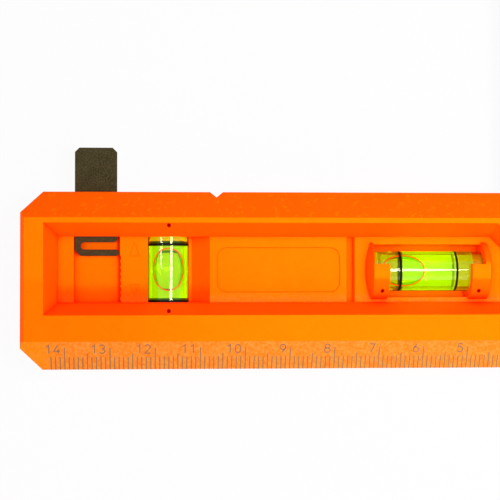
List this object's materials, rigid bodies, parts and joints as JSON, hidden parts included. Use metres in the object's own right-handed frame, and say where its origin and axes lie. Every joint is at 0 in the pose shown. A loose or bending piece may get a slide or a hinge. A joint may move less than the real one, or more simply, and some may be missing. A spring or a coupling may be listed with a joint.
{
  "type": "carpenter square",
  "caption": "Try and mitre square: bevelled moulded stock with level vial, plumb vial and sliding ledge, and a steel blade set square to it.",
  "frame": {"origin": "centre of the bounding box in X and Y, on the plane of the stock's back face", "axes": "+Z out of the stock's face, +Y along the blade away from the stock, +X along the stock towards the blade"},
  "size_m": [0.1498, 0.2396, 0.018],
  "materials": {
    "stock_plastic": "satin moulded, vivid orange",
    "blade_steel": "brushed along its length",
    "rivet_steel": "turned flush",
    "ledge_steel": "dark bronze coating",
    "vial_clear": "clear, polished",
    "vial_plug": "satin",
    "vial_liquid": "bright yellow-green liquid",
    "vial_ring": "black"
  },
  "bodies": {
    "stock": {"stock": "stock_plastic", "blade": "blade_steel", "blade_rivet_1": "rivet_steel", "blade_rivet_2": "rivet_steel", "blade_rivet_3": "rivet_steel", "level_vial_tube": "vial_clear", "level_vial_plug": "vial_plug", "level_vial_liquid": "vial_liquid", "level_vial_ring_left": "vial_ring", "level_vial_ring_right": "vial_ring", "plumb_vial_tube": "vial_clear", "plumb_vial_plug": "vial_plug", "plumb_vial_liquid": "vial_liquid", "plumb_vial_ring_top": "vial_ring", "plumb_vial_ring_bottom": "vial_ring"},
    "ledge": {"ledge": "ledge_steel"}
  },
  "joints": [
    {"name": "ledge_slide", "type": "slide", "parent": "stock", "child": "ledge", "axis": [0, -1, 0], "range_m": [0, 0.0103]}
  ]
}
